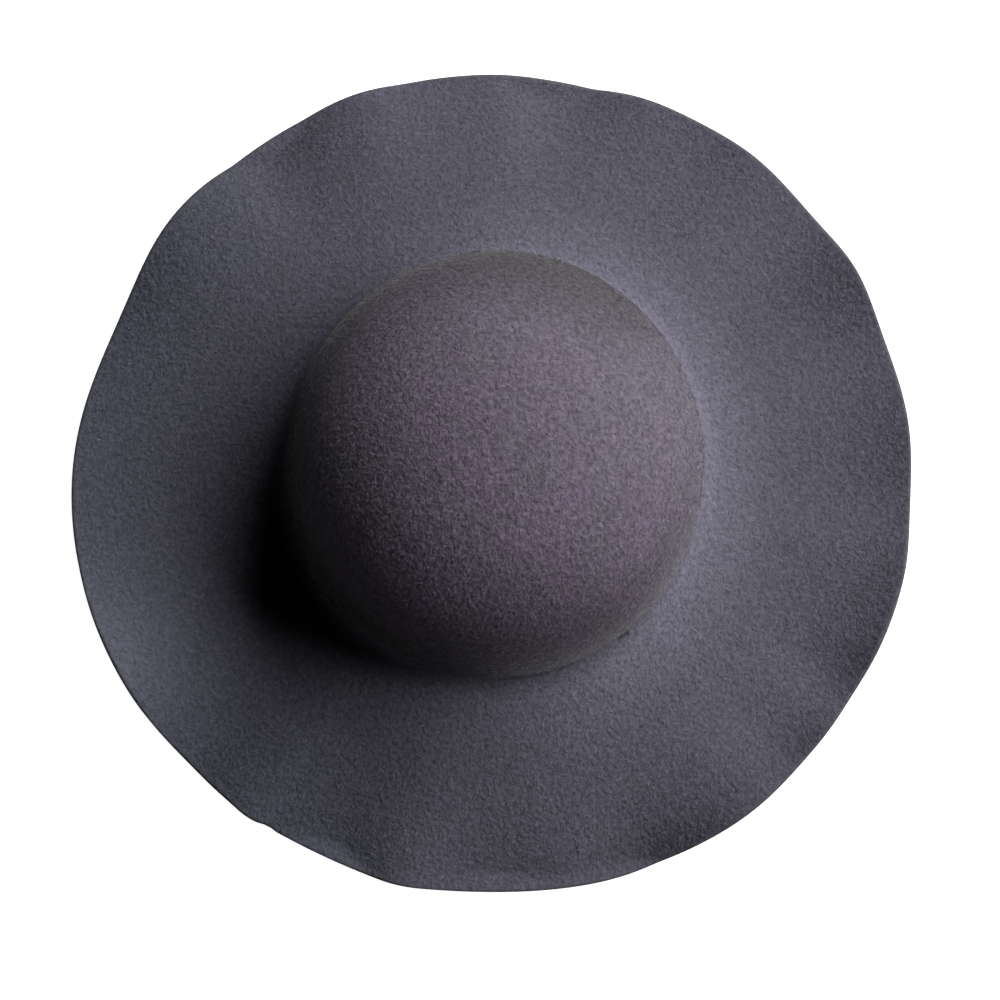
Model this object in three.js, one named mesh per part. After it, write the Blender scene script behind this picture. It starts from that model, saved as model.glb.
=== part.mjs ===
import * as THREE from 'three';

// A floppy hat of moulded wool felt, in millimetres: +Z up, +Y to the back, +X to the right as seen
// from the front. Crown and brim are one hood of felt, which lies on z = 0 by the brim's low folds.

// Driving sizes
const WALL = 2.2; // thickness of the felt
const CROWN_HALF_WIDTH = 94.8; // outer half width at the crown's root, along X
const CROWN_HALF_LENGTH = 96.8; // outer half length at the crown's root, along Y
const CROWN_HEIGHT = 91; // from the crown's root to its top
const CROWN_SIDE_POWER = 1.95; // how square the crown's profile is across: 2 is an ellipse
const CROWN_TOP_POWER = 3; // how square it is in height
const ROOT_HEIGHT = 29; // of the line where crown wall and brim meet, over the surface below
const ROOT_BEND = 11; // how far the soft bend there reaches up the wall and out into the brim
const BRIM_WIDTH = 102; // of the felt, from the crown's root to the cut edge
const BRIM_DROP = 22.5; // how far the plain brim falls from the root to the edge
const SETTLE = 1; // felt this far over the surface starts to settle onto it
const REST_SNAP = 0.05; // an underside lower than this lies flat on the surface

// How finely the felt is cut into facets
const CROWN_SIDES = 60;
const BRIM_SIDES = 2 * CROWN_SIDES;
const CROWN_ROWS = 12;
const BEND_ROWS = 3;
const BRIM_ROWS = 11;
const EDGE_STRIP = 4; // width of the brim's last row, in mm

// The brim's folds, each a crest (rise over 0) or a trough (rise under 0) that fades inwards.
// angle: where it meets the edge, in degrees from +X towards +Y
// spread: how far it fades to either side, in degrees
// rise: its height at the edge, in mm; run: how far in from the edge it starts, in mm
// pull: how far it draws the edge out (over 0) or in (under 0), in mm
const FOLDS = [
  // The long waves, which lift the two sides and let front and back down
  { angle: 6, spread: 62, rise: 12.5, run: 86, pull: -3.9 },
  { angle: 93, spread: 29, rise: -8, run: 100, pull: 0.3 },
  { angle: 192, spread: 29, rise: 12.5, run: 100, pull: 0.3 },
  { angle: 275, spread: 28, rise: -4, run: 78, pull: 1.2 },
  // The flutes along the edge
  { angle: 6, spread: 10.5, rise: 6, run: 90, pull: 0.9 },
  { angle: 29, spread: 7, rise: 9, run: 85, pull: 0.2 },
  { angle: 51, spread: 8.5, rise: 5.5, run: 100, pull: -0.2 },
  { angle: 68, spread: 9, rise: 2.5, run: 82, pull: 0.3 },
  { angle: 80, spread: 8, rise: -4.5, run: 90, pull: -0.1 },
  { angle: 89, spread: 5, rise: 1.5, run: 80, pull: 0.4 },
  { angle: 109, spread: 7, rise: 4, run: 72, pull: -0.2 },
  { angle: 125, spread: 6.5, rise: -6, run: 80, pull: -0.1 },
  { angle: 143, spread: 10.5, rise: 3.5, run: 100, pull: 1.8 },
  { angle: 157, spread: 18, rise: -5.5, run: 52, pull: -2.8 },
  { angle: 208, spread: 10.5, rise: 13.5, run: 55, pull: -1.8 },
  { angle: 223, spread: 8, rise: -6.5, run: 100, pull: 0.1 },
  { angle: 246, spread: 10, rise: -6.5, run: 95, pull: -1.3 },
  { angle: 257, spread: 7, rise: 4, run: 45, pull: 1 },
  { angle: 269, spread: 14, rise: -5.5, run: 85, pull: -2.4 },
  { angle: 289, spread: 8, rise: -6, run: 65, pull: 0.9 },
  { angle: 308, spread: 9.5, rise: 6.5, run: 87, pull: 0.6 },
  { angle: 322, spread: 5.5, rise: 5.5, run: 76, pull: -0.1 },
  { angle: 335, spread: 8, rise: 9, run: 65, pull: 0.5 },
  { angle: 346, spread: 8, rise: 8, run: 85, pull: 1.2 },
];

const RAD = Math.PI / 180;
const FULL_TURN = 360;
const HALF_TURN = 180;
const QUARTER_TURN = 90;

// How strongly a fold acts in a direction: 1 along it, fading smoothly to either side
function foldShare(fold, angle) {
  const turn = angle - fold.angle + HALF_TURN;
  const away = turn - FULL_TURN * Math.floor(turn / FULL_TURN) - HALF_TURN;
  return Math.exp(-((away / fold.spread) ** 2));
}

// The felt's outer face settles softly onto the surface, one wall thickness up
function settled(height) {
  const over = height - WALL;
  if (over <= -SETTLE) return WALL;
  if (over >= SETTLE) return height;
  return WALL + (over + SETTLE) ** 2 / (4 * SETTLE);
}

// Height of the brim's outer face; part is 0 at the crown's root and 1 at the edge
function brimHeight(angle, part) {
  let height = ROOT_HEIGHT - BRIM_DROP * part;
  for (const fold of FOLDS) {
    const along = 1 - (1 - part) * (BRIM_WIDTH / fold.run);
    if (along > 0) height += fold.rise * foldShare(fold, angle) * along ** 2;
  }
  return settled(height);
}

function rootRadius(angle) {
  const across = Math.cos(angle * RAD) / CROWN_HALF_WIDTH;
  const along = Math.sin(angle * RAD) / CROWN_HALF_LENGTH;
  return 1 / Math.hypot(across, along);
}

// The edge lies where a brim of even width ends, drawn in or out by each fold
function edgeRadius(angle) {
  const fall = ROOT_HEIGHT - brimHeight(angle, 1);
  let radius = rootRadius(angle) + Math.sqrt(BRIM_WIDTH ** 2 - fall ** 2);
  for (const fold of FOLDS) radius += fold.pull * foldShare(fold, angle);
  return radius;
}

// Middle of the outline, which is the part's origin
function outlineMiddle() {
  const outline = new THREE.Box2();
  for (let angle = 0; angle < FULL_TURN; angle += 1) {
    const edge = new THREE.Vector2(edgeRadius(angle), 0);
    outline.expandByPoint(edge.rotateAround(new THREE.Vector2(), angle * RAD));
  }
  return outline.getCenter(new THREE.Vector2());
}

const MIDDLE = outlineMiddle();

function place(angle, radius, height) {
  const x = radius * Math.cos(angle * RAD) - MIDDLE.x;
  const y = radius * Math.sin(angle * RAD) - MIDDLE.y;
  return new THREE.Vector3(x, y, height);
}

// A point of the crown's outer face; lift runs from 0 degrees at the root to 90 at the top
function crownPoint(angle, lift) {
  const reach = Math.cos(lift * RAD) ** (2 / CROWN_SIDE_POWER);
  const rise = Math.sin(lift * RAD) ** (2 / CROWN_TOP_POWER);
  return place(angle, rootRadius(angle) * reach, ROOT_HEIGHT + CROWN_HEIGHT * rise);
}

function brimPoint(angle, part) {
  const root = rootRadius(angle);
  return place(angle, root + (edgeRadius(angle) - root) * part, brimHeight(angle, part));
}

// Where the bend starts on the crown wall and where it ends in the brim
const BEND_LIFT = Math.asin((ROOT_BEND / CROWN_HEIGHT) ** (CROWN_TOP_POWER / 2)) / RAD;
const BEND_PART = ROOT_BEND / BRIM_WIDTH;

// The outer face is one sheet, from way 0 at the top down the crown, round the bend and out the brim
const CROWN_END = 1;
const BEND_END = 2;
const BRIM_END = 3;

function outerPoint(angle, way) {
  if (way < CROWN_END) return crownPoint(angle, QUARTER_TURN - (QUARTER_TURN - BEND_LIFT) * way);
  if (way > BEND_END) return brimPoint(angle, BEND_PART + (1 - BEND_PART) * (way - BEND_END));
  const bend = new THREE.QuadraticBezierCurve3(
    crownPoint(angle, BEND_LIFT),
    place(angle, rootRadius(angle), ROOT_HEIGHT),
    brimPoint(angle, BEND_PART),
  );
  return bend.getPoint(way - CROWN_END);
}

// How far to either side, in degrees and in way, the sheet's slope is taken
const SLOPE_TURN = 0.5;
const SLOPE_WAY = 0.01;

// The direction out of the felt, from the sheet's slopes each way
function outward(angle, way) {
  const across = outerPoint(angle + SLOPE_TURN, way).sub(outerPoint(angle - SLOPE_TURN, way));
  const lower = outerPoint(angle, Math.min(way + SLOPE_WAY, BRIM_END));
  return lower.sub(outerPoint(angle, way - SLOPE_WAY)).cross(across).normalize();
}

// The inner face, one wall thickness in, flat where it lies on the surface
function innerPoint(angle, way) {
  const point = outerPoint(angle, way).addScaledVector(outward(angle, way), -WALL);
  if (point.z < REST_SNAP) point.z = 0;
  return point;
}

// Rows of the sheet from just under the top down to the edge
function rowsOfTheSheet() {
  const rows = [];
  const addRows = (count, start, end, sides) => {
    for (let row = 1; row <= count; row += 1) {
      rows.push({ way: start + (end - start) * (row / count), sides });
    }
  };
  addRows(CROWN_ROWS, 0, CROWN_END, CROWN_SIDES);
  addRows(BEND_ROWS, CROWN_END, BEND_END, BRIM_SIDES);
  addRows(BRIM_ROWS - 1, BEND_END, BRIM_END - EDGE_STRIP / BRIM_WIDTH, BRIM_SIDES);
  rows.push({ way: BRIM_END, sides: BRIM_SIDES });
  return rows;
}

// A closed skin: the outer sheet, the inner sheet and the cut edge between them
function feltGeometry() {
  const corners = [];
  const faces = [];
  const addCorner = (point) => corners.push(point) - 1;
  const addFace = (a, b, c, flip) => faces.push(...(flip ? [a, c, b] : [a, b, c]));

  // Joins a row to the next one, which has as many sides or twice as many
  const joinRows = (upper, lower, flip) => {
    const ratio = lower.length / upper.length;
    upper.forEach((here, side) => {
      const next = upper[(side + 1) % upper.length];
      const below = [0, 1, 2].map((i) => lower[(side * ratio + i) % lower.length]);
      addFace(here, below[0], below[1], flip);
      addFace(here, below[1], next, flip);
      if (ratio === 2) addFace(next, below[1], below[2], flip);
    });
  };

  const addSheet = (pointAt, top, flip) => {
    const pole = addCorner(top);
    const rings = rowsOfTheSheet().map(({ way, sides }) => (
      Array.from({ length: sides }, (_, side) => addCorner(pointAt((side * FULL_TURN) / sides, way)))
    ));
    rings[0].forEach((corner, side) => {
      addFace(pole, corner, rings[0][(side + 1) % rings[0].length], flip);
    });
    for (let row = 1; row < rings.length; row += 1) joinRows(rings[row - 1], rings[row], flip);
    return rings[rings.length - 1];
  };

  const topHeight = ROOT_HEIGHT + CROWN_HEIGHT;
  const outerEdge = addSheet(outerPoint, place(0, 0, topHeight), false);
  const innerEdge = addSheet(innerPoint, place(0, 0, topHeight - WALL), true);
  joinRows(outerEdge, innerEdge, false);

  const geometry = new THREE.BufferGeometry().setFromPoints(corners);
  geometry.setIndex(faces);
  geometry.computeVertexNormals();
  return geometry;
}

const felt = new THREE.MeshStandardMaterial({ color: 0x5a5864, roughness: 0.95, metalness: 0 });
const body = new THREE.Mesh(feltGeometry(), felt);
body.name = 'felt_body';

const group = new THREE.Group();
group.add(body);

export default group;
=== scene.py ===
import math
from collections import namedtuple

import bpy
from mathutils import Matrix, Vector


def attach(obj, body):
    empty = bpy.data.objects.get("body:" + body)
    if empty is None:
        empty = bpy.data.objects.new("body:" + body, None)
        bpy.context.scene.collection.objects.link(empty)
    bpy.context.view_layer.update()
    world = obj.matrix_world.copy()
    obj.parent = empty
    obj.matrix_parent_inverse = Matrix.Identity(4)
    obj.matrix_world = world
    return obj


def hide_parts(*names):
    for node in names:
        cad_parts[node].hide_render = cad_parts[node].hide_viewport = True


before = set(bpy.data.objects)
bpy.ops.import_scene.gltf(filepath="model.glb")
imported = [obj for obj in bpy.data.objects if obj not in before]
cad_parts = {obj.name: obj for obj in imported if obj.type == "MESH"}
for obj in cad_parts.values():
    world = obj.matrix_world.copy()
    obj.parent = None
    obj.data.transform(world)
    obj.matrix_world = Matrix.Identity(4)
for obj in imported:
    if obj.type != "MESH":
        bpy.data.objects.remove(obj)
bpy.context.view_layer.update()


# Felt hood
# Crown and brim are one hood of moulded wool felt, blocked on a round block while wet and steamed,
# with a raw-cut edge and no band, seam or lining. Handling has left the wide brim in loose folds.

MM = 0.001
WALL = 2.2 * MM
CROWN_HALF_WIDTH = 94.8 * MM  # outer half width at the crown's root, along X
CROWN_HALF_LENGTH = 96.8 * MM  # outer half length there, along Y
CROWN_HEIGHT = 91 * MM
CROWN_SIDE_POWER = 1.95  # how square the crown's profile is across: 2 is an ellipse
CROWN_TOP_POWER = 3  # how square it is in height
ROOT_HEIGHT = 29 * MM  # of the line where crown wall and brim meet, over the surface below
ROOT_BEND = 11 * MM  # how far the soft bend there reaches up the wall and out into the brim
BRIM_WIDTH = 102 * MM  # of the felt, from the crown's root to the cut edge
BRIM_DROP = 22.5 * MM  # how far the plain brim falls from the root to the edge
SETTLE = 1 * MM  # felt this far over the surface starts to settle onto it

# Each fold is a crest (rise over 0) or a trough (rise under 0) that fades inwards: the direction in
# which it meets the edge and its spread, in degrees from +X towards +Y, then in millimetres its
# height at the edge, how far in from the edge it starts, and how far it draws the edge out or in
Fold = namedtuple("Fold", "angle spread rise run pull")
FOLDS = (
    # The long waves, which lift the two sides and let front and back down
    Fold(6, 62, 12.5, 86, -3.9),
    Fold(93, 29, -8, 100, 0.3),
    Fold(192, 29, 12.5, 100, 0.3),
    Fold(275, 28, -4, 78, 1.2),
    # The flutes along the edge
    Fold(6, 10.5, 6, 90, 0.9),
    Fold(29, 7, 9, 85, 0.2),
    Fold(51, 8.5, 5.5, 100, -0.2),
    Fold(68, 9, 2.5, 82, 0.3),
    Fold(80, 8, -4.5, 90, -0.1),
    Fold(89, 5, 1.5, 80, 0.4),
    Fold(109, 7, 4, 72, -0.2),
    Fold(125, 6.5, -6, 80, -0.1),
    Fold(143, 10.5, 3.5, 100, 1.8),
    Fold(157, 18, -5.5, 52, -2.8),
    Fold(208, 10.5, 13.5, 55, -1.8),
    Fold(223, 8, -6.5, 100, 0.1),
    Fold(246, 10, -6.5, 95, -1.3),
    Fold(257, 7, 4, 45, 1),
    Fold(269, 14, -5.5, 85, -2.4),
    Fold(289, 8, -6, 65, 0.9),
    Fold(308, 9.5, 6.5, 87, 0.6),
    Fold(322, 5.5, 5.5, 76, -0.1),
    Fold(335, 8, 9, 65, 0.5),
    Fold(346, 8, 8, 85, 1.2),
    # A small nick in the cut edge at the front left, and the fuller edge beside it
    Fold(237.5, 0.9, 0, 10, -0.9),
    Fold(234.5, 2.2, 0, 10, 0.8),
)

# The sheet of felt is a grid of rows, from the crown's top to the cut edge, and of sides round it
SIDES = 360
CROWN_ROWS = 56
BEND_ROWS = 16
BRIM_ROWS = 60
ROWS = CROWN_ROWS + BEND_ROWS + BRIM_ROWS
MERGED = 0.001 * MM  # corners of the sheet that are closer than this become one

# The attribute of the sheet's corners: direction in degrees, way down the crown (0 to 1) and round
# the bend (1 to 2), and way out along the brim (0 to 1)
SHEET_PLACE = "sheet_place"

HALF_TURN = 180.0  # in degrees


def add(tree, kind, *inputs, out=0, **settings):
    """Adds a node with its settings, links or sets its inputs in their order, and gives one output."""
    node = tree.nodes.new(kind)
    for name, value in settings.items():
        setattr(node, name, value)
    for socket, value in zip([socket for socket in node.inputs if socket.enabled], inputs):
        if isinstance(value, bpy.types.NodeSocket):
            tree.links.new(value, socket)
        elif value is not None:
            socket.default_value = value
    return [socket for socket in node.outputs if socket.enabled][out]


def new_tree(name, inputs, outputs):
    """Makes a geometry tree with named sockets, and gives it with its inputs and its output node."""
    tree = bpy.data.node_groups.new(name, "GeometryNodeTree")
    for way, sockets in (("INPUT", inputs), ("OUTPUT", outputs)):
        for socket, kind in sockets.items():
            tree.interface.new_socket(socket, in_out=way, socket_type="NodeSocket" + kind)
    return tree, tree.nodes.new("NodeGroupInput").outputs, tree.nodes.new("NodeGroupOutput").inputs


def fold_tree():
    """One fold's lift of the felt and its pull on the edge, in one direction and part of the brim."""
    names = ("Direction", "Part", "Angle", "Spread", "Rise", "Run", "Pull")
    outputs = {"Lift": "Float", "Draw": "Float"}
    tree, given, result = new_tree("fold", dict.fromkeys(names, "Float"), outputs)
    turn = add(tree, "ShaderNodeMath", given["Direction"], given["Angle"], operation="SUBTRACT")
    away = add(tree, "ShaderNodeMath", turn, HALF_TURN, -HALF_TURN, operation="WRAP")
    off = add(tree, "ShaderNodeMath", away, given["Spread"], operation="DIVIDE")
    square = add(tree, "ShaderNodeMath", off, off, operation="MULTIPLY")
    fading = add(tree, "ShaderNodeMath", square, -1.0, operation="MULTIPLY")
    share = add(tree, "ShaderNodeMath", fading, operation="EXPONENT")
    start = add(tree, "ShaderNodeMath", 1.0, given["Run"], operation="SUBTRACT")
    along = add(tree, "ShaderNodeMapRange", given["Part"], start, 1.0, 0.0, 1.0)
    growth = add(tree, "ShaderNodeMath", along, 2.0, operation="POWER")
    height = add(tree, "ShaderNodeMath", given["Rise"], share, operation="MULTIPLY")
    lift = add(tree, "ShaderNodeMath", height, growth, operation="MULTIPLY")
    draw = add(tree, "ShaderNodeMath", given["Pull"], share, operation="MULTIPLY")
    tree.links.new(lift, result["Lift"])
    tree.links.new(draw, result["Draw"])
    return tree


def brim_tree():
    """The brim's height in one direction and part, 0 at the crown's root and 1 at the cut edge."""
    names = ("Direction", "Part", "Root height", "Brim drop", "Brim width", "Wall", "Settle")
    outputs = {"Height": "Float", "Draw": "Float"}
    tree, given, result = new_tree("brim", dict.fromkeys(names, "Float"), outputs)
    fold_group = fold_tree()
    fall = add(tree, "ShaderNodeMath", given["Brim drop"], given["Part"], operation="MULTIPLY")
    height = add(tree, "ShaderNodeMath", given["Root height"], fall, operation="SUBTRACT")
    draw = add(tree, "ShaderNodeValue")
    for fold in FOLDS:
        run = add(tree, "ShaderNodeMath", fold.run * MM, given["Brim width"], operation="DIVIDE")
        lift = add(tree, "GeometryNodeGroup", given["Direction"], given["Part"], fold.angle, fold.spread,
                   fold.rise * MM, run, fold.pull * MM, node_tree=fold_group)
        height = add(tree, "ShaderNodeMath", height, lift, operation="ADD")
        draw = add(tree, "ShaderNodeMath", draw, lift.node.outputs["Draw"], operation="ADD")
    # The felt settles softly onto the surface, with its outer face one wall thickness up
    over = add(tree, "ShaderNodeMath", height, given["Wall"], operation="SUBTRACT")
    raised = add(tree, "ShaderNodeMath", over, given["Settle"], operation="ADD")
    soft_end = add(tree, "ShaderNodeMath", given["Settle"], 2.0, operation="MULTIPLY")
    near = add(tree, "ShaderNodeClamp", raised, 0.0, soft_end)
    square = add(tree, "ShaderNodeMath", near, 2.0, operation="POWER")
    length = add(tree, "ShaderNodeMath", given["Settle"], 4.0, operation="MULTIPLY")
    soft = add(tree, "ShaderNodeMath", square, length, operation="DIVIDE")
    clear = add(tree, "ShaderNodeMath", raised, soft_end, operation="SUBTRACT")
    free = add(tree, "ShaderNodeMath", clear, 0.0, operation="MAXIMUM")
    lifted = add(tree, "ShaderNodeMath", soft, free, operation="ADD")
    settled = add(tree, "ShaderNodeMath", given["Wall"], lifted, operation="ADD")
    tree.links.new(settled, result["Height"])
    tree.links.new(draw, result["Draw"])
    return tree


HOOD_SIZES = {
    "Wall": WALL, "Crown half width": CROWN_HALF_WIDTH, "Crown half length": CROWN_HALF_LENGTH,
    "Crown height": CROWN_HEIGHT, "Side power": CROWN_SIDE_POWER, "Top power": CROWN_TOP_POWER,
    "Root height": ROOT_HEIGHT, "Root bend": ROOT_BEND, "Brim width": BRIM_WIDTH, "Brim drop": BRIM_DROP,
    "Settle": SETTLE,
}


def sheet_tree():
    """The hood's outer face: one sheet shaped over crown, bend and brim, closed at seam and top."""
    inputs = {**dict.fromkeys(HOOD_SIZES, "Float"), "Sides": "Int"}
    tree, given, result = new_tree("felt_sheet", inputs, {"Sheet": "Geometry"})
    brim_group = brim_tree()

    # Each corner of a flat grid takes its way down the felt from its row, its direction from its side
    sides = add(tree, "ShaderNodeMath", given["Sides"], 1.0, operation="ADD")
    grid = add(tree, "GeometryNodeMeshGrid", 1.0, 1.0, ROWS + 1, sides)
    place = add(tree, "ShaderNodeSeparateXYZ", add(tree, "GeometryNodeInputPosition"))
    row = add(tree, "ShaderNodeMapRange", place, -0.5, 0.5, 0.0, ROWS)
    down_crown = add(tree, "ShaderNodeMapRange", row, 0.0, CROWN_ROWS, 0.0, 1.0)
    round_bend = add(tree, "ShaderNodeMapRange", row, CROWN_ROWS, CROWN_ROWS + BEND_ROWS, 0.0, 1.0)
    along_brim = add(tree, "ShaderNodeMapRange", row, CROWN_ROWS + BEND_ROWS, ROWS, 0.0, 1.0)
    radians = add(tree, "ShaderNodeMapRange", place.node.outputs["Y"], -0.5, 0.5, 0.0, math.tau)
    direction = add(tree, "ShaderNodeMath", radians, operation="DEGREES")
    cosine = add(tree, "ShaderNodeMath", radians, operation="COSINE")
    sine = add(tree, "ShaderNodeMath", radians, operation="SINE")
    outward = add(tree, "ShaderNodeCombineXYZ", cosine, sine, 0.0)

    # The crown's root is an ellipse
    half_sizes = add(tree, "ShaderNodeCombineXYZ", given["Crown half width"],
                     given["Crown half length"], 1.0)
    ratio = add(tree, "ShaderNodeVectorMath", outward, half_sizes, operation="DIVIDE")
    inverse = add(tree, "ShaderNodeVectorMath", ratio, operation="LENGTH")
    root = add(tree, "ShaderNodeMath", 1.0, inverse, operation="DIVIDE")

    def at(radius, height):
        level = add(tree, "ShaderNodeCombineXYZ", 0.0, 0.0, height)
        return add(tree, "ShaderNodeVectorMath", outward, radius, level, operation="MULTIPLY_ADD")

    # The crown is a superellipse turned round it, from lift 90 degrees at the top down to the root
    side_power = add(tree, "ShaderNodeMath", 2.0, given["Side power"], operation="DIVIDE")
    top_power = add(tree, "ShaderNodeMath", 2.0, given["Top power"], operation="DIVIDE")

    def crown_point(lift):
        inward = add(tree, "ShaderNodeMath", lift, operation="COSINE")
        reach = add(tree, "ShaderNodeMath", inward, side_power, operation="POWER")
        upward = add(tree, "ShaderNodeMath", lift, operation="SINE")
        rise = add(tree, "ShaderNodeMath", upward, top_power, operation="POWER")
        radius = add(tree, "ShaderNodeMath", root, reach, operation="MULTIPLY")
        height = add(tree, "ShaderNodeMath", given["Crown height"], rise, given["Root height"],
                     operation="MULTIPLY_ADD")
        return at(radius, height)

    bend_share = add(tree, "ShaderNodeMath", given["Root bend"], given["Crown height"],
                     operation="DIVIDE")
    bend_power = add(tree, "ShaderNodeMath", given["Top power"], 2.0, operation="DIVIDE")
    bend_sine = add(tree, "ShaderNodeMath", bend_share, bend_power, operation="POWER")
    bend_lift = add(tree, "ShaderNodeMath", bend_sine, operation="ARCSINE")
    lift = add(tree, "ShaderNodeMapRange", down_crown, 0.0, 1.0, math.pi / 2, bend_lift)
    crown = crown_point(lift)

    # The brim runs from the root to where a brim of even width ends, drawn out or in by its folds
    def brim_height(part, output="Height"):
        height = add(tree, "GeometryNodeGroup", direction, part, given["Root height"], given["Brim drop"],
                     given["Brim width"], given["Wall"], given["Settle"], node_tree=brim_group)
        return height.node.outputs[output]

    edge = brim_height(1.0)
    fall = add(tree, "ShaderNodeMath", given["Root height"], edge, operation="SUBTRACT")
    fall_square = add(tree, "ShaderNodeMath", fall, 2.0, operation="POWER")
    width_square = add(tree, "ShaderNodeMath", given["Brim width"], 2.0, operation="POWER")
    run_square = add(tree, "ShaderNodeMath", width_square, fall_square, operation="SUBTRACT")
    flat_run = add(tree, "ShaderNodeMath", run_square, operation="SQRT")
    run = add(tree, "ShaderNodeMath", flat_run, edge.node.outputs["Draw"], operation="ADD")

    def brim_point(part):
        radius = add(tree, "ShaderNodeMath", run, part, root, operation="MULTIPLY_ADD")
        return at(radius, brim_height(part))

    bend_part = add(tree, "ShaderNodeMath", given["Root bend"], given["Brim width"], operation="DIVIDE")
    part = add(tree, "ShaderNodeMapRange", along_brim, 0.0, 1.0, bend_part, 1.0)
    brim = brim_point(part)

    # Between them the felt turns on a soft bend, drawn as a curve with its corner at the root
    upper = crown_point(bend_lift)
    corner = at(root, given["Root height"])
    lower = brim_point(bend_part)
    first = add(tree, "ShaderNodeMix", round_bend, upper, corner, data_type="VECTOR")
    second = add(tree, "ShaderNodeMix", round_bend, corner, lower, data_type="VECTOR")
    bend = add(tree, "ShaderNodeMix", round_bend, first, second, data_type="VECTOR")
    past_crown = add(tree, "FunctionNodeCompare", row, CROWN_ROWS, operation="GREATER_THAN")
    past_bend = add(tree, "FunctionNodeCompare", row, CROWN_ROWS + BEND_ROWS, operation="GREATER_THAN")
    upper_part = add(tree, "GeometryNodeSwitch", past_crown, crown, bend, input_type="VECTOR")
    surface = add(tree, "GeometryNodeSwitch", past_bend, upper_part, brim, input_type="VECTOR")
    # The felt's look needs the place of each corner on the sheet, so it is kept with the corners
    down = add(tree, "ShaderNodeMath", down_crown, round_bend, operation="ADD")
    sheet_place = add(tree, "ShaderNodeCombineXYZ", direction, down, along_brim)
    marked = add(tree, "GeometryNodeStoreNamedAttribute", grid, True, SHEET_PLACE, sheet_place,
                 data_type="FLOAT_VECTOR", domain="POINT")
    shaped = add(tree, "GeometryNodeSetPosition", marked, True, surface)

    # Seam and top are closed, and the middle of the outline comes over the origin
    closed = add(tree, "GeometryNodeMergeByDistance", shaped, True, MERGED)
    box = add(tree, "GeometryNodeBoundBox", closed)
    low, high = box.node.outputs["Min"], box.node.outputs["Max"]
    ends = add(tree, "ShaderNodeVectorMath", low, high, operation="ADD")
    shift = add(tree, "ShaderNodeVectorMath", ends, (-0.5, -0.5, 0.0), operation="MULTIPLY")
    centred = add(tree, "GeometryNodeSetPosition", closed, True, None, shift)
    tree.links.new(centred, result["Sheet"])
    return tree


def sheet_in(tree, given, group):
    """Adds the outer sheet to a tree whose inputs start with the same sizes."""
    sizes = [given[name] for name in (*HOOD_SIZES, "Sides")]
    return add(tree, "GeometryNodeGroup", *sizes, node_tree=group)


def hood_tree(sheet_group):
    """The whole hood: the outer sheet, a second sheet one thickness in, and the cut edge between."""
    inputs = {**dict.fromkeys(HOOD_SIZES, "Float"), "Sides": "Int", "Felt": "Material"}
    tree, given, result = new_tree("felt_hood", inputs, {"Hood": "Geometry"})
    sheet = sheet_in(tree, given, sheet_group)
    normal = add(tree, "GeometryNodeInputNormal")
    inward = add(tree, "ShaderNodeVectorMath", normal, -1.0, operation="SCALE")
    wall = add(tree, "GeometryNodeExtrudeMesh", sheet, True, inward, given["Wall"], False)
    inner = add(tree, "GeometryNodeFlipFaces", wall)
    join = tree.nodes.new("GeometryNodeJoinGeometry")
    tree.links.new(inner, join.inputs[0])
    tree.links.new(sheet, join.inputs[0])
    solid = add(tree, "GeometryNodeMergeByDistance", join.outputs[0], True, MERGED)
    # Where the inner face would reach under the surface, it lies flat on it
    place = add(tree, "ShaderNodeSeparateXYZ", add(tree, "GeometryNodeInputPosition"))
    over_floor = add(tree, "ShaderNodeMath", place.node.outputs["Z"], 0.0, operation="MAXIMUM")
    resting = add(tree, "ShaderNodeCombineXYZ", place, place.node.outputs["Y"], over_floor)
    laid = add(tree, "GeometryNodeSetPosition", solid, True, resting)

    smooth = add(tree, "GeometryNodeSetShadeSmooth", laid, True, True)
    realized = add(tree, "GeometryNodeRealizeInstances", smooth)
    finished = add(tree, "GeometryNodeSetMaterial", realized, True, given["Felt"])
    tree.links.new(finished, result["Hood"])
    return tree


def grown(name, tree, values, start=None):
    """Makes a plain mesh object from a geometry tree, with the tree's inputs set by name."""
    mesh = start or bpy.data.meshes.new(name)
    seedling = bpy.data.objects.new(name, mesh)
    bpy.context.scene.collection.objects.link(seedling)
    modifier = seedling.modifiers.new("shape", "NODES")
    modifier.node_group = tree
    for socket in tree.interface.items_tree:
        if socket.in_out == "INPUT" and socket.name in values:
            modifier[socket.identifier] = values[socket.name]
    evaluated = seedling.evaluated_get(bpy.context.evaluated_depsgraph_get())
    made = bpy.data.meshes.new_from_object(evaluated)
    seedling.modifiers.clear()
    seedling.data = made
    made.name = name
    return seedling


# Where the crown's axis stands, a little off the part's origin
CROWN_AXIS = (1.4 * MM, -1 * MM, 0)

# The felt's colours in sRGB: grey wool with some violet in it, greyer and bluer on the brim, a
# brown for bands that are partly painted shade, and a darker grey for a line along the cut edge
CROWN_GREY = "58545d"
CROWN_VIOLET = "5f5464"
BRIM_GREY = "52515b"
BRIM_VIOLET = "54515d"
BRIM_BLUE = "4f515c"
BAND_BROWN_AND_SHADE = "4a474b"
CUT_EDGE_GREY = "48494c"

# A side of the hat, in degrees from +X towards +Y: its middle, and how far to either side of it a
# look is whole and where it ends
Side = namedtuple("Side", "middle whole end")
VIOLET_SIDE = Side(285, 30, 120)
BLUE_SIDE = Side(190, 20, 90)
PAINTED_SHADE_SIDE = Side(196, 30, 85)
PAINTED_LIGHT_SIDE = Side(355, 10, 60)
PAINTED_HIGHLIGHT_SIDE = Side(350, 70, 150)
PAINTED_EDGE_SHADE_SIDE = Side(310, 35, 60)

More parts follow.
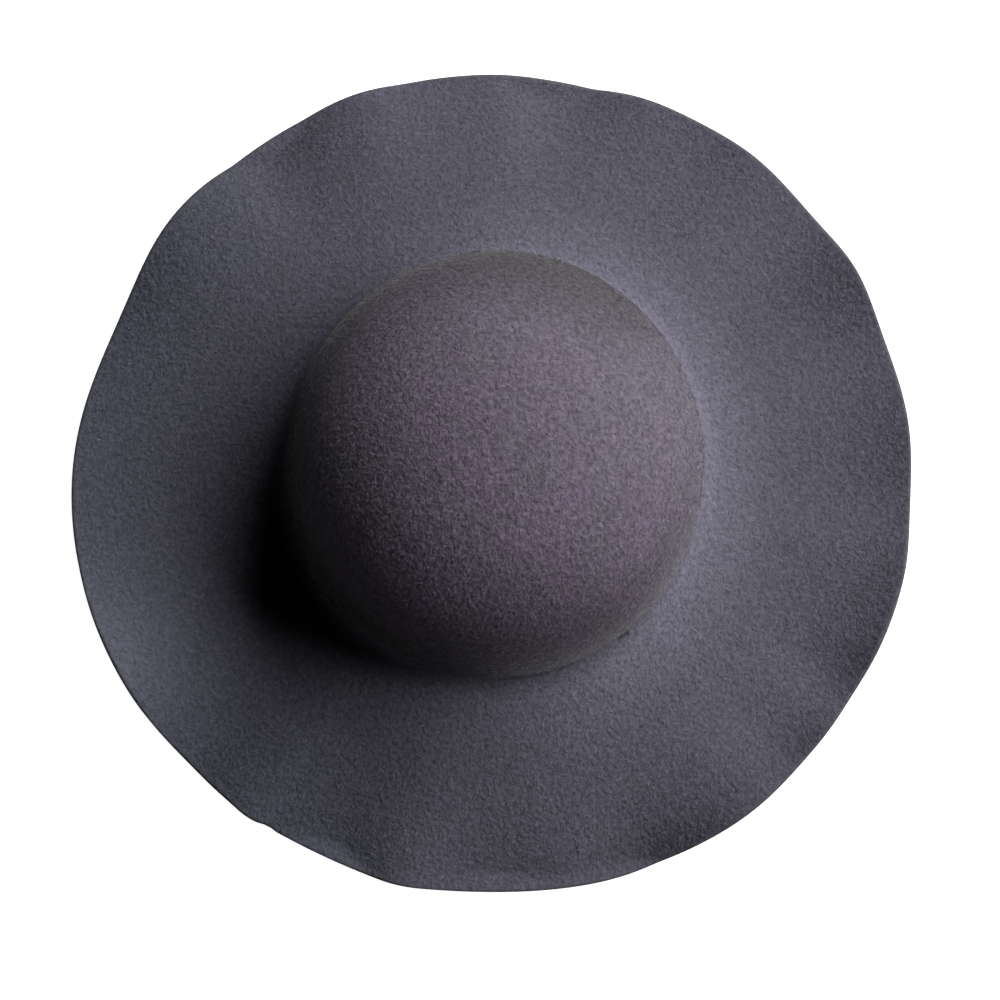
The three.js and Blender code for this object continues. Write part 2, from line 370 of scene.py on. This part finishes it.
# How a tone changes with the way down the crown and round the bend (0 to 1 to 2) or with the way
# out along the brim (0 to 1): where the change starts and ends, and the tone before and after it
Change = namedtuple("Change", "start end before after")
VIOLET_DOWN = Change(0.15, 0.4, 1.0, 0.35)
PAINTED_TOP_TO_WALL = Change(0.35, 0.75, 1.12, 0.82)
PAINTED_LEFT_DOWN = Change(0.62, 0.9, 1.25, 0.12)
PAINTED_LEFT_FROM_TOP = Change(0.1, 0.5, 0.0, 1.0)
PAINTED_LIGHT_DOWN = Change(0.4, 0.8, 0.0, 0.24)
PAINTED_HIGHLIGHT_DOWN = Change(0.74, 1.0, 0.0, 0.35)
PAINTED_HIGHLIGHT_OUT = Change(0.0, 0.3, 1.0, 0.0)
PAINTED_EDGE_SHADE_OUT = Change(0.75, 1.0, 0.0, -0.15)
BROWN_FOOT = Change(0.8, 1.0, 1.0, 0.2)
CROWN_TO_BRIM = Change(0.94, 1.4, 0.0, 1.0)

# Painted light and shade on the brim: a side of it is lighter (share over 0) or darker (under 0)
PaintedBrimLight = namedtuple("PaintedBrimLight", "side share")
PAINTED_BRIM_LIGHT = (
    PaintedBrimLight(Side(300, 20, 65), 0.08),
    PaintedBrimLight(Side(214, 8, 34), 0.11),
    PaintedBrimLight(Side(145, 20, 70), -0.07),
)

# Browner bands low on the crown's wall, brown in colour and darker as painted shade: the side of
# each, the way down where it starts, the way it takes to its full share, and that share
Band = namedtuple("Band", "side start fade share")
BANDS = (
    Band(Side(72, 5, 46), 0.4, 0.25, 1.0),
    Band(Side(325, 5, 35), 0.6, 0.25, 0.5),
)

# Fine creases in the bend at the crown's root: the direction of the middle and the reach to either
# side in degrees, the way round the bend (1 on the crown's wall, 2 on the brim), and the width in mm
Crease = namedtuple("Crease", "middle reach way width")
CREASES = (
    Crease(282, 14, 1.3, 1.3),
    Crease(306.4, 2.4, 1.32, 3),
)
CREASE_PAINTED_SHADE = 0.3
BEND_LENGTH = 17 * MM  # of the felt, round the bend
EDGE_LINE = 0.8 * MM  # width of the cut edge's darker line on the outer face

# Patches of one wool, and their noise's detail, roughness, lacunarity and distortion
PATCH_SIZE = 18 * MM
PATCH_NOISE = (3.0, 0.6, 2.0, 0.4)
PATCH_SHARE = Change(0.36, 0.64, 0.0, 1.0)

# The soft lumps of the matted wool, with their noise's detail and roughness, and the wrinkles that
# run along the edge, with how many there are in one radian round the brim
GRAIN_SIZE = 2.2 * MM
GRAIN_DEPTH = 0.4 * MM
GRAIN_NOISE = (1.0, 0.5)
CROWN_GRAIN = Change(0.25, 0.75, 0.72, 1.28)
BRIM_GRAIN = Change(0.25, 0.75, 0.82, 1.18)
WRINKLE_WIDTH = 4 * MM
WRINKLE_DEPTH = 0.5 * MM
WRINKLES_ROUND = 14
WRINKLED_OUT = Change(0.2, 0.9, 0.0, WRINKLE_DEPTH / GRAIN_DEPTH)
RELIEF_FILTER = 0.1  # width in pixels over which the relief's slope is taken

# The tone of each fibre of the nap follows its own number, from -1 to 1, and the last few are pale
FIBRE_TONE = "fibre_tone"
FIBRE_OWN = Change(-1.0, 1.0, 0.9, 1.1)
FIBRE_PALE = Change(0.985, 1.0, 0.0, 0.6)

# Dry matted wool scatters light and hardly shines, and its loose fibres light up at a low angle
FELT_FINISH = {"Roughness": 0.95, "Specular IOR Level": 0.15, "Sheen Weight": 0.3, "Sheen Roughness": 0.3}


def colour(code):
    """Turns an sRGB hex colour into the linear one that materials take."""
    parts = [int(code[start:start + 2], 16) / 255 for start in (0, 2, 4)]
    linear = [part / 12.92 if part <= 0.04045 else ((part + 0.055) / 1.055) ** 2.4 for part in parts]
    return (*linear, 1.0)


def wool_felt():
    """Moulded wool felt: dry and matt, with a mottle of blended wools under a fine fuzzy nap."""
    material = bpy.data.materials.new("moulded_wool_felt")
    material.use_nodes = True
    tree = material.node_tree
    shader = tree.nodes["Principled BSDF"]
    place = add(tree, "ShaderNodeTexCoord", out=3)
    sheet = add(tree, "ShaderNodeAttribute", out=1, attribute_name=SHEET_PLACE)
    parts = add(tree, "ShaderNodeSeparateXYZ", sheet)
    down, out_along = parts.node.outputs["Y"], parts.node.outputs["Z"]
    level = add(tree, "ShaderNodeVectorMath", place, (1.0, 1.0, 0.0), operation="MULTIPLY")
    from_axis = add(tree, "ShaderNodeVectorMath", level, CROWN_AXIS, operation="SUBTRACT")
    outward = add(tree, "ShaderNodeVectorMath", from_axis, operation="NORMALIZE")

    def on_side(side):
        """1 near the middle of a side of the hat, fading to 0 at its ends."""
        middle = math.radians(side.middle)
        aim = (math.cos(middle), math.sin(middle), 0.0)
        share = add(tree, "ShaderNodeVectorMath", outward, aim, operation="DOT_PRODUCT", out=0)
        limits = math.cos(math.radians(side.end)), math.cos(math.radians(side.whole))
        return add(tree, "ShaderNodeMapRange", share, *limits, 0.0, 1.0, interpolation_type="SMOOTHSTEP")

    # Blended wools part into soft patches 10 to 20 mm across, violet and ash grey on the crown,
    # where the violet shows most on the top and down the front, and a bluer grey on the brim
    noise = add(tree, "ShaderNodeTexNoise", place, 1 / PATCH_SIZE, *PATCH_NOISE)
    patch = add(tree, "ShaderNodeMapRange", noise, *PATCH_SHARE)
    top = add(tree, "ShaderNodeMapRange", down, *VIOLET_DOWN)
    shown = add(tree, "ShaderNodeMath", top, on_side(VIOLET_SIDE), operation="MAXIMUM")
    violet = add(tree, "ShaderNodeMath", patch, shown, operation="MULTIPLY")
    wools = colour(CROWN_GREY), colour(CROWN_VIOLET)
    crown = add(tree, "ShaderNodeMix", violet, *wools, data_type="RGBA", out=0)
    wools = colour(BRIM_GREY), colour(BRIM_VIOLET)
    brim = add(tree, "ShaderNodeMix", patch, *wools, data_type="RGBA", out=0)
    bluer = add(tree, "ShaderNodeMath", on_side(BLUE_SIDE), out_along, operation="MULTIPLY")
    brim = add(tree, "ShaderNodeMix", bluer, brim, colour(BRIM_BLUE), data_type="RGBA", out=0)

    # Painted light and shade on the brim makes some sides of it lighter or darker, and painted shade
    # darkens it near the cut edge at the front right
    for painted_light in PAINTED_BRIM_LIGHT:
        laid = add(tree, "ShaderNodeMath", on_side(painted_light.side), painted_light.share, 1.0,
                   operation="MULTIPLY_ADD")
        brim = add(tree, "ShaderNodeVectorMath", brim, laid, operation="SCALE")
    # Painted shade near the cut edge at the front right
    outer = add(tree, "ShaderNodeMapRange", out_along, *PAINTED_EDGE_SHADE_OUT)
    edge_painted_shade = add(tree, "ShaderNodeMath", outer, on_side(PAINTED_EDGE_SHADE_SIDE), 1.0, operation="MULTIPLY_ADD")
    brim = add(tree, "ShaderNodeVectorMath", brim, edge_painted_shade, operation="SCALE")

    # Painted light and shade on the crown: its top is lighter than its steep wall, and the wall is
    # darkest low on the left, lighter above that, and lighter low on the right
    wall_painted_shade = add(tree, "ShaderNodeMapRange", down, *PAINTED_TOP_TO_WALL)
    in_shade = add(tree, "ShaderNodeMapRange", down, *PAINTED_LEFT_DOWN)
    shade = add(tree, "ShaderNodeMapRange", down, *PAINTED_LEFT_FROM_TOP)
    shade = add(tree, "ShaderNodeMath", shade, on_side(PAINTED_SHADE_SIDE), operation="MULTIPLY")
    on_wall = add(tree, "ShaderNodeMix", shade, wall_painted_shade, in_shade)
    lit = add(tree, "ShaderNodeMapRange", down, *PAINTED_LIGHT_DOWN)
    on_wall = add(tree, "ShaderNodeMath", lit, on_side(PAINTED_LIGHT_SIDE), on_wall, operation="MULTIPLY_ADD")
    crown = add(tree, "ShaderNodeVectorMath", crown, on_wall, operation="SCALE")
    # Bands low on the wall, brown in colour and darker as painted shade
    foot = add(tree, "ShaderNodeMapRange", down, *BROWN_FOOT)
    for band in BANDS:
        low = add(tree, "ShaderNodeMapRange", down, band.start, band.start + band.fade, 0.0, band.share)
        brown = add(tree, "ShaderNodeMath", low, on_side(band.side), operation="MULTIPLY")
        brown = add(tree, "ShaderNodeMath", brown, foot, operation="MULTIPLY")
        crown = add(tree, "ShaderNodeMix", brown, crown, colour(BAND_BROWN_AND_SHADE), data_type="RGBA", out=0)
    on_brim = add(tree, "ShaderNodeMapRange", down, *CROWN_TO_BRIM)
    base = add(tree, "ShaderNodeMix", on_brim, crown, brim, data_type="RGBA", out=0)

    # Round the bend at the crown's root, a painted highlight makes the felt paler on the right
    bent = add(tree, "ShaderNodeMapRange", down, *PAINTED_HIGHLIGHT_DOWN)
    beyond = add(tree, "ShaderNodeMapRange", out_along, *PAINTED_HIGHLIGHT_OUT)
    bent = add(tree, "ShaderNodeMath", bent, beyond, operation="MULTIPLY")
    painted_highlight = add(tree, "ShaderNodeMath", bent, on_side(PAINTED_HIGHLIGHT_SIDE), 1.0, operation="MULTIPLY_ADD")
    base = add(tree, "ShaderNodeVectorMath", base, painted_highlight, operation="SCALE")
    # The outer face is darker in a thin line along the raw-cut edge
    at_edge = add(tree, "ShaderNodeMapRange", out_along, 1 - EDGE_LINE / BRIM_WIDTH, 1.0, 0.0, 1.0)
    base = add(tree, "ShaderNodeMix", at_edge, base, colour(CUT_EDGE_GREY), data_type="RGBA", out=0)

    # Creases pinched into the bend are fine lines of painted shade
    creased = add(tree, "ShaderNodeValue")
    for crease in CREASES:
        off = add(tree, "ShaderNodeMath", down, crease.way, operation="SUBTRACT")
        off = add(tree, "ShaderNodeMath", off, operation="ABSOLUTE")
        near = add(tree, "ShaderNodeMapRange", off, 0.0, crease.width * MM / BEND_LENGTH, 1.0, 0.0)
        along = on_side(Side(crease.middle, crease.reach / 2, crease.reach))
        line = add(tree, "ShaderNodeMath", near, along, operation="MULTIPLY")
        creased = add(tree, "ShaderNodeMath", creased, line, operation="MAXIMUM")
    crease_shade = add(tree, "ShaderNodeMapRange", creased, 0.0, 1.0, 1.0, CREASE_PAINTED_SHADE)

    # Under the fibres of the nap the matted wool is softly lumpy, and each fibre has its own tone.
    # A few fibres are undyed and pale.
    grain = add(tree, "ShaderNodeTexNoise", place, 1 / GRAIN_SIZE, *GRAIN_NOISE)
    crown_tone = add(tree, "ShaderNodeMapRange", grain, *CROWN_GRAIN)
    brim_tone = add(tree, "ShaderNodeMapRange", grain, *BRIM_GRAIN)
    tone = add(tree, "ShaderNodeMix", on_brim, crown_tone, brim_tone)
    fibre = add(tree, "ShaderNodeAttribute", out=2, attribute_name=FIBRE_TONE)
    own = add(tree, "ShaderNodeMapRange", fibre, *FIBRE_OWN)
    pale = add(tree, "ShaderNodeMapRange", fibre, *FIBRE_PALE)
    own = add(tree, "ShaderNodeMath", own, pale, operation="ADD")
    for factor in (tone, own, crease_shade):
        base = add(tree, "ShaderNodeVectorMath", base, factor, operation="SCALE")
    tree.links.new(base, shader.inputs["Base Color"])

    # Out on the brim the felt is also drawn into shallow wrinkles that run along the edge
    across = add(tree, "ShaderNodeCombineXYZ", 0.0, 0.0, out_along)
    round_edge = add(tree, "ShaderNodeVectorMath", outward, (WRINKLES_ROUND, WRINKLES_ROUND, 0.0),
                     operation="MULTIPLY")
    along_edge = add(tree, "ShaderNodeVectorMath", across, (0.0, 0.0, BRIM_WIDTH / WRINKLE_WIDTH),
                     round_edge, operation="MULTIPLY_ADD")
    wrinkle = add(tree, "ShaderNodeTexNoise", along_edge, 1.0, *GRAIN_NOISE)
    outer = add(tree, "ShaderNodeMapRange", out_along, *WRINKLED_OUT)
    wrinkled = add(tree, "ShaderNodeMath", wrinkle, outer, operation="MULTIPLY")
    relief = add(tree, "ShaderNodeMath", grain, wrinkled, operation="ADD")
    relief = add(tree, "ShaderNodeMath", relief, creased, operation="SUBTRACT")
    bump = add(tree, "ShaderNodeBump", 1.0, GRAIN_DEPTH, RELIEF_FILTER, relief)
    tree.links.new(bump, shader.inputs["Normal"])
    for name, value in FELT_FINISH.items():
        shader.inputs[name].default_value = value
    return material


felt = wool_felt()
sheet_group = sheet_tree()
hood_values = {**HOOD_SIZES, "Sides": SIDES, "Felt": felt}
hood = grown("felt_hood", hood_tree(sheet_group), hood_values)
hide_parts("felt_body")
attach(hood, "root")


# Nap
# The felt's face is brushed: a thin fuzz of wool fibres 2 to 3 mm long that come out of the matted
# surface and lie nearly flat on it, each its own way. The felt was cut after the brushing, so the
# fibres are short at the cut edge.

# A wool fibre is about 0.03 mm thick, too fine to show, so each one drawn stands for a small tuft
FIBRE_LENGTHS = (1.6 * MM, 3.2 * MM)
FIBRE_WIDTHS = (0.3 * MM, 0.5 * MM)
FIBRE_LIFTS = (0, 8)  # in degrees
FIBRE_ROLL = 6  # to either side, in degrees
TRIMMED = Change(2.96, 3.0, 1.0, 0.2)  # the fibres' size over the last 4 mm of the felt

# Each stretch of nap is a mesh of its own: its way down the felt, from 0 at the crown's top to 3 at
# the cut edge, its turn round it in degrees, and its fibres per square millimetre
Stretch = namedtuple("Stretch", "name way_from way_to turn_from turn_to fibres")
STRETCHES = (
    Stretch("crown_nap_back", 0, 1.4, 0, 180, 1.3),
    Stretch("crown_nap_front", 0, 1.4, 180, 360, 1.3),
    Stretch("brim_nap_right", 1.4, 3, 0, 120, 1.1),
    Stretch("brim_nap_left", 1.4, 3, 120, 240, 1.1),
    Stretch("brim_nap_front", 1.4, 3, 240, 360, 1.1),
)


def nap_tree(sheet_group):
    """A nap of short fibres strewn over one stretch of the outer sheet, each lying its own way."""
    inputs = {
        "Fibre": "Geometry", **dict.fromkeys(HOOD_SIZES, "Float"), "Sides": "Int", "Felt": "Material",
        **dict.fromkeys(("Way from", "Way to", "Turn from", "Turn to"), "Float"),
        "Fibres per area": "Float", "Smallest": "Vector", "Largest": "Vector", "Least turn": "Vector",
        "Most turn": "Vector", "Seed": "Int",
    }
    tree, given, result = new_tree("felt_nap", inputs, {"Nap": "Geometry"})
    sheet = sheet_in(tree, given, sheet_group)
    place = add(tree, "GeometryNodeInputNamedAttribute", SHEET_PLACE, data_type="FLOAT_VECTOR")
    turn = add(tree, "ShaderNodeSeparateXYZ", place)
    way = add(tree, "ShaderNodeMath", turn.node.outputs["Y"], turn.node.outputs["Z"], operation="ADD")
    from_way = add(tree, "FunctionNodeCompare", way, given["Way from"], operation="GREATER_EQUAL")
    to_way = add(tree, "FunctionNodeCompare", way, given["Way to"], operation="LESS_THAN")
    from_turn = add(tree, "FunctionNodeCompare", turn, given["Turn from"], operation="GREATER_EQUAL")
    to_turn = add(tree, "FunctionNodeCompare", turn, given["Turn to"], operation="LESS_THAN")
    in_way = add(tree, "FunctionNodeBooleanMath", from_way, to_way)
    in_turn = add(tree, "FunctionNodeBooleanMath", from_turn, to_turn)
    stretch = add(tree, "FunctionNodeBooleanMath", in_way, in_turn)
    roots = add(tree, "GeometryNodeDistributePointsOnFaces", sheet, stretch, given["Fibres per area"],
                given["Seed"])
    tone = add(tree, "FunctionNodeRandomValue", -1.0, 1.0, None, given["Seed"])
    toned = add(tree, "GeometryNodeStoreNamedAttribute", roots, True, FIBRE_TONE, tone)
    turns = add(tree, "FunctionNodeRandomValue", given["Least turn"], given["Most turn"], None,
                given["Seed"], data_type="FLOAT_VECTOR")
    lying = add(tree, "FunctionNodeRotateRotation", roots.node.outputs["Rotation"],
                add(tree, "FunctionNodeEulerToRotation", turns), rotation_space="LOCAL")
    size = add(tree, "FunctionNodeRandomValue", given["Smallest"], given["Largest"], None, given["Seed"],
               data_type="FLOAT_VECTOR")
    trimmed = add(tree, "ShaderNodeMapRange", way, *TRIMMED)
    size = add(tree, "ShaderNodeVectorMath", size, trimmed, operation="SCALE")
    fibres = add(tree, "GeometryNodeInstanceOnPoints", toned, True, given["Fibre"], False, None,
                 lying, size)
    realized = add(tree, "GeometryNodeRealizeInstances", fibres)
    finished = add(tree, "GeometryNodeSetMaterial", realized, True, given["Felt"])
    tree.links.new(finished, result["Nap"])
    return tree


def fibre_mesh():
    """One fibre in units of its width and length: a tapered sliver of two faces, bent sideways."""
    root, middle, tip = 0.5, (0.8, 0.55, 0.03), (-0.6, 1.0, 0.01)
    mesh = bpy.data.meshes.new("fibre")
    mesh.from_pydata([(-root, 0, 0), (root, 0, 0), middle, tip], [], [(0, 1, 2), (0, 2, 3)])
    return mesh


nap_group = nap_tree(sheet_group)
lifts = [math.radians(angle) for angle in FIBRE_LIFTS]
roll = math.radians(FIBRE_ROLL)
for seed, stretch in enumerate(STRETCHES):
    nap = grown(stretch.name, nap_group, {
        **hood_values, "Way from": stretch.way_from, "Way to": stretch.way_to,
        "Turn from": stretch.turn_from, "Turn to": stretch.turn_to,
        "Fibres per area": stretch.fibres / MM ** 2,
        "Smallest": (FIBRE_WIDTHS[0], FIBRE_LENGTHS[0], FIBRE_LENGTHS[0]),
        "Largest": (FIBRE_WIDTHS[1], FIBRE_LENGTHS[1], FIBRE_LENGTHS[1]),
        "Least turn": (lifts[0], -roll, 0.0), "Most turn": (lifts[1], roll, math.tau), "Seed": seed,
    }, fibre_mesh())
    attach(nap, "root")


# Floor
# A plain white sheet that the hat lies on, which is no part of it. It is wide enough to fill the
# picture, and lies a hair lower than the felt that rests on it.

FLOOR_SIZE = 12
FLOOR_GAP = 0.1 * MM

bpy.ops.mesh.primitive_plane_add(size=FLOOR_SIZE, location=(0, 0, -FLOOR_GAP))
floor = bpy.context.object
floor.name = "floor"
# Opal acrylic sheet, matt and lit from under it: the camera sees plain white with no shadow, and
# the hat gets only the lamp's light back from it
acrylic = bpy.data.materials.new("opal_acrylic")
acrylic.use_nodes = True
shader = acrylic.node_tree.nodes["Principled BSDF"]
shader.inputs["Base Color"].default_value = colour("bcbcbc")
shader.inputs["Roughness"].default_value = 0.9
shader.inputs["Emission Color"].default_value = colour("ffffff")
seen = add(acrylic.node_tree, "ShaderNodeLightPath")
acrylic.node_tree.links.new(seen, shader.inputs["Emission Strength"])
floor.data.materials.append(acrylic)


# Light
# One wide soft lamp low on the right and a little behind, in a room that is otherwise dark. Its
# distance and sizes are in metres, and its power is in watts.

CROWN_ROOT = Vector((CROWN_AXIS[0], CROWN_AXIS[1], ROOT_HEIGHT))
KEY_AZIMUTH = math.radians(30)
KEY_HEIGHT = math.radians(36)
KEY_DISTANCE = 5
KEY_WIDTH = 6.1
KEY_TALL = 3.3
KEY_POWER = 642


def facing(towards, up):
    """The turn of a lamp or camera that looks back along a direction, with its top side to up."""
    side = up.cross(towards).normalized()
    return Matrix((side, towards.cross(side), towards)).transposed().to_euler()


lamp = bpy.data.lights.new("key", "AREA")
lamp.shape = "RECTANGLE"
lamp.size = KEY_WIDTH
lamp.size_y = KEY_TALL
lamp.energy = KEY_POWER
key = bpy.data.objects.new("key", lamp)
from_key = Vector((
    math.cos(KEY_HEIGHT) * math.cos(KEY_AZIMUTH),
    math.cos(KEY_HEIGHT) * math.sin(KEY_AZIMUTH),
    math.sin(KEY_HEIGHT),
))
key.location = CROWN_ROOT + KEY_DISTANCE * from_key
key.rotation_euler = facing(from_key, Vector((0, 0, 1)))
bpy.context.scene.collection.objects.link(key)

# The backdrop is white where the camera sees it, and gives the hat no light
world = bpy.data.worlds.new("studio")
world.use_nodes = True
backdrop = world.node_tree.nodes["Background"]
backdrop.inputs["Color"].default_value = colour("ffffff")
seen = add(world.node_tree, "ShaderNodeLightPath")
world.node_tree.links.new(seen, backdrop.inputs["Strength"])
bpy.context.scene.world = world
bpy.context.scene.view_settings.view_transform = "Standard"


# Camera
# It looks down on the hat from 9 degrees in front of straight above, with the front edge below in
# the picture.

FRONT_LEAN = math.radians(9)
LEFT_LEAN = math.radians(1.5)
CAMERA_DISTANCE = 1.30  # from the middle of the crown's root, in metres
SENSOR = 36  # width in mm
PICTURE = 1000  # width and height in pixels
PIXELS_PER_METRE = 2170  # at the crown's root
ROOT_IN_PICTURE = (495.8, 467.8)  # its middle, in pixels from the picture's top left corner

lens = bpy.data.cameras.new("camera")
lens.sensor_width = SENSOR
lens.lens = SENSOR * CAMERA_DISTANCE * PIXELS_PER_METRE / PICTURE
camera = bpy.data.objects.new("camera", lens)
towards = Vector((
    -math.sin(LEFT_LEAN),
    -math.sin(FRONT_LEAN),
    math.sqrt(1 - math.sin(LEFT_LEAN) ** 2 - math.sin(FRONT_LEAN) ** 2),
))
camera.location = CROWN_ROOT + CAMERA_DISTANCE * towards
right = Vector((0, 1, 0)).cross(towards).normalized()
up = towards.cross(right)
aim_right = (PICTURE / 2 - ROOT_IN_PICTURE[0]) / PIXELS_PER_METRE
aim_up = (ROOT_IN_PICTURE[1] - PICTURE / 2) / PIXELS_PER_METRE
towards = (camera.location - CROWN_ROOT - aim_right * right - aim_up * up).normalized()
camera.rotation_euler = facing(towards, Vector((0, 1, 0)))
bpy.context.scene.collection.objects.link(camera)
bpy.context.scene.camera = camera
